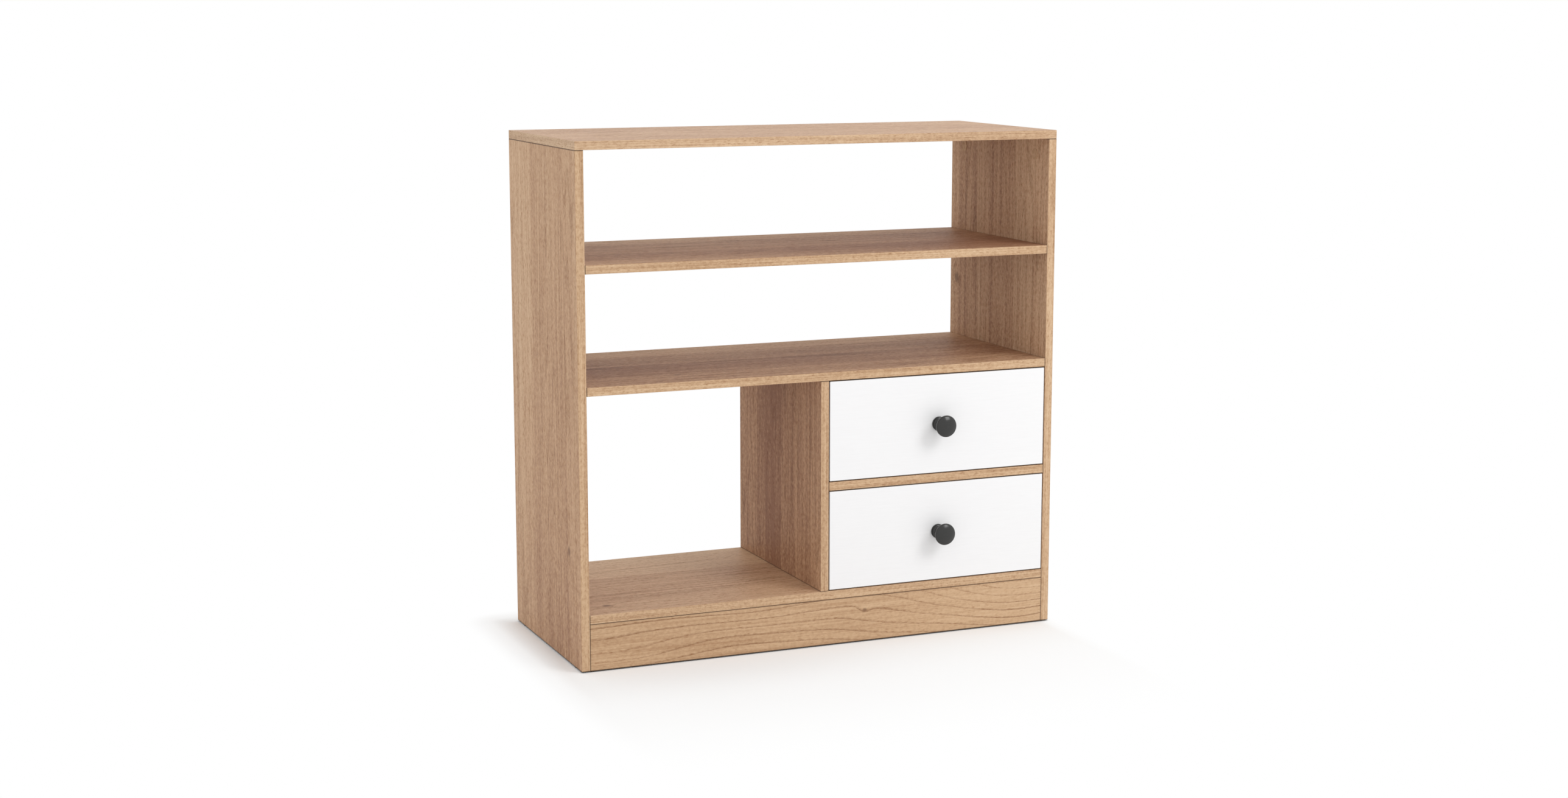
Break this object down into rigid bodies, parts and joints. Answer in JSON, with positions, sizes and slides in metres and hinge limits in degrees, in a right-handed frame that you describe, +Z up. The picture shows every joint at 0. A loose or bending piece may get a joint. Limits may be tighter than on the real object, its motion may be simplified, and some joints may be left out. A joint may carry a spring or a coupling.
{
  "type": "bookcase with bottom drawers",
  "caption": "Low open-backed bookcase of oak-look board: long upper bays, a square lower bay beside stacked inset white drawers with round knobs, and a plinth.",
  "frame": {"origin": "on the floor, under the middle of the whole outline with the knobs", "axes": "+Z up, +Y to the back (the drawers open along -Y), +X to the right seen from the front"},
  "size_m": [0.9, 0.418, 0.9],
  "materials": {
    "oak_board": "satin oak-look foil",
    "white_board": "white foil, fine brushed grain",
    "back_board": "oak-look printed hardboard",
    "knob_grey": "satin dark grey",
    "runner_steel": "white coated steel",
    "roller_plastic": "white plastic",
    "zinc_hardware": "zinc plated",
    "dowel_wood": "raw beech",
    "cover_plastic": "oak-look plastic",
    "glide_plastic": "dark plastic"
  },
  "bodies": {
    "carcass": {"bottom_shelf": "oak_board", "cam_covers": "cover_plastic", "carcass_cam_bolts": "zinc_hardware", "carcass_cams": "zinc_hardware", "carcass_dowels": "dowel_wood", "centre_divider": "oak_board", "channel_screws": "zinc_hardware", "divider_screws": "zinc_hardware", "drawer_bay_back": "back_board", "drawer_rail": "oak_board", "foot_glides": "glide_plastic", "front_plinth": "oak_board", "left_side_panel": "oak_board", "lower_left_channel": "runner_steel", "lower_right_channel": "runner_steel", "middle_shelf": "oak_board", "rear_plinth": "oak_board", "right_side_panel": "oak_board", "top_panel": "oak_board", "upper_left_channel": "runner_steel", "upper_right_channel": "runner_steel", "upper_shelf": "oak_board"},
    "upper_drawer": {"upper_drawer_back": "white_board", "upper_drawer_back_screws": "zinc_hardware", "upper_drawer_bottom": "white_board", "upper_drawer_cam_bolts": "zinc_hardware", "upper_drawer_cams": "zinc_hardware", "upper_drawer_dowels": "dowel_wood", "upper_drawer_front": "white_board", "upper_drawer_knob": "knob_grey", "upper_drawer_knob_screw": "zinc_hardware", "upper_drawer_left_runner": "runner_steel", "upper_drawer_left_side": "white_board", "upper_drawer_right_runner": "runner_steel", "upper_drawer_right_side": "white_board", "upper_drawer_runner_screws": "zinc_hardware"},
    "lower_drawer": {"lower_drawer_back": "white_board", "lower_drawer_back_screws": "zinc_hardware", "lower_drawer_bottom": "white_board", "lower_drawer_cam_bolts": "zinc_hardware", "lower_drawer_cams": "zinc_hardware", "lower_drawer_dowels": "dowel_wood", "lower_drawer_front": "white_board", "lower_drawer_knob": "knob_grey", "lower_drawer_knob_screw": "zinc_hardware", "lower_drawer_left_runner": "runner_steel", "lower_drawer_left_side": "white_board", "lower_drawer_right_runner": "runner_steel", "lower_drawer_right_side": "white_board", "lower_drawer_runner_screws": "zinc_hardware"},
    "lower_left_front_roller": {"lower_left_front_roller": "roller_plastic"},
    "lower_left_rear_roller": {"lower_left_rear_roller": "roller_plastic"},
    "lower_right_front_roller": {"lower_right_front_roller": "roller_plastic"},
    "lower_right_rear_roller": {"lower_right_rear_roller": "roller_plastic"},
    "upper_left_front_roller": {"upper_left_front_roller": "roller_plastic"},
    "upper_left_rear_roller": {"upper_left_rear_roller": "roller_plastic"},
    "upper_right_front_roller": {"upper_right_front_roller": "roller_plastic"},
    "upper_right_rear_roller": {"upper_right_rear_roller": "roller_plastic"}
  },
  "joints": [
    {"name": "upper_drawer_slide", "type": "slide", "parent": "carcass", "child": "upper_drawer", "axis": [0, -1, 0], "range_m": [0, 0.22]},
    {"name": "lower_drawer_slide", "type": "slide", "parent": "carcass", "child": "lower_drawer", "axis": [0, -1, 0], "range_m": [0, 0.22]},
    {"name": "upper_left_front_roller_spin", "type": "hinge", "parent": "carcass", "child": "upper_left_front_roller", "pos_m": [0.01375, -0.1425, 0.319], "axis": [1, 0, 0], "continuous": true},
    {"name": "upper_left_rear_roller_spin", "type": "hinge", "parent": "upper_drawer", "child": "upper_left_rear_roller", "pos_m": [0.01375, 0.1325, 0.3205], "axis": [1, 0, 0], "continuous": true},
    {"name": "upper_right_front_roller_spin", "type": "hinge", "parent": "carcass", "child": "upper_right_front_roller", "pos_m": [0.42875, -0.1425, 0.319], "axis": [1, 0, 0], "continuous": true},
    {"name": "upper_right_rear_roller_spin", "type": "hinge", "parent": "upper_drawer", "child": "upper_right_rear_roller", "pos_m": [0.42875, 0.1325, 0.3205], "axis": [1, 0, 0], "continuous": true},
    {"name": "lower_left_front_roller_spin", "type": "hinge", "parent": "carcass", "child": "lower_left_front_roller", "pos_m": [0.01375, -0.1425, 0.1235], "axis": [1, 0, 0], "continuous": true},
    {"name": "lower_left_rear_roller_spin", "type": "hinge", "parent": "lower_drawer", "child": "lower_left_rear_roller", "pos_m": [0.01375, 0.1325, 0.125], "axis": [1, 0, 0], "continuous": true},
    {"name": "lower_right_front_roller_spin", "type": "hinge", "parent": "carcass", "child": "lower_right_front_roller", "pos_m": [0.42875, -0.1425, 0.1235], "axis": [1, 0, 0], "continuous": true},
    {"name": "lower_right_rear_roller_spin", "type": "hinge", "parent": "lower_drawer", "child": "lower_right_rear_roller", "pos_m": [0.42875, 0.1325, 0.125], "axis": [1, 0, 0], "continuous": true}
  ],
  "couplings": [
    {"joint": "upper_left_front_roller_spin", "follows": "upper_drawer_slide", "rad_per_m": 95.238},
    {"joint": "upper_left_rear_roller_spin", "follows": "upper_drawer_slide", "rad_per_m": 95.238},
    {"joint": "upper_right_front_roller_spin", "follows": "upper_drawer_slide", "rad_per_m": 95.238},
    {"joint": "upper_right_rear_roller_spin", "follows": "upper_drawer_slide", "rad_per_m": 95.238},
    {"joint": "lower_left_front_roller_spin", "follows": "lower_drawer_slide", "rad_per_m": 95.238},
    {"joint": "lower_left_rear_roller_spin", "follows": "lower_drawer_slide", "rad_per_m": 95.238},
    {"joint": "lower_right_front_roller_spin", "follows": "lower_drawer_slide", "rad_per_m": 95.238},
    {"joint": "lower_right_rear_roller_spin", "follows": "lower_drawer_slide", "rad_per_m": 95.238}
  ]
}
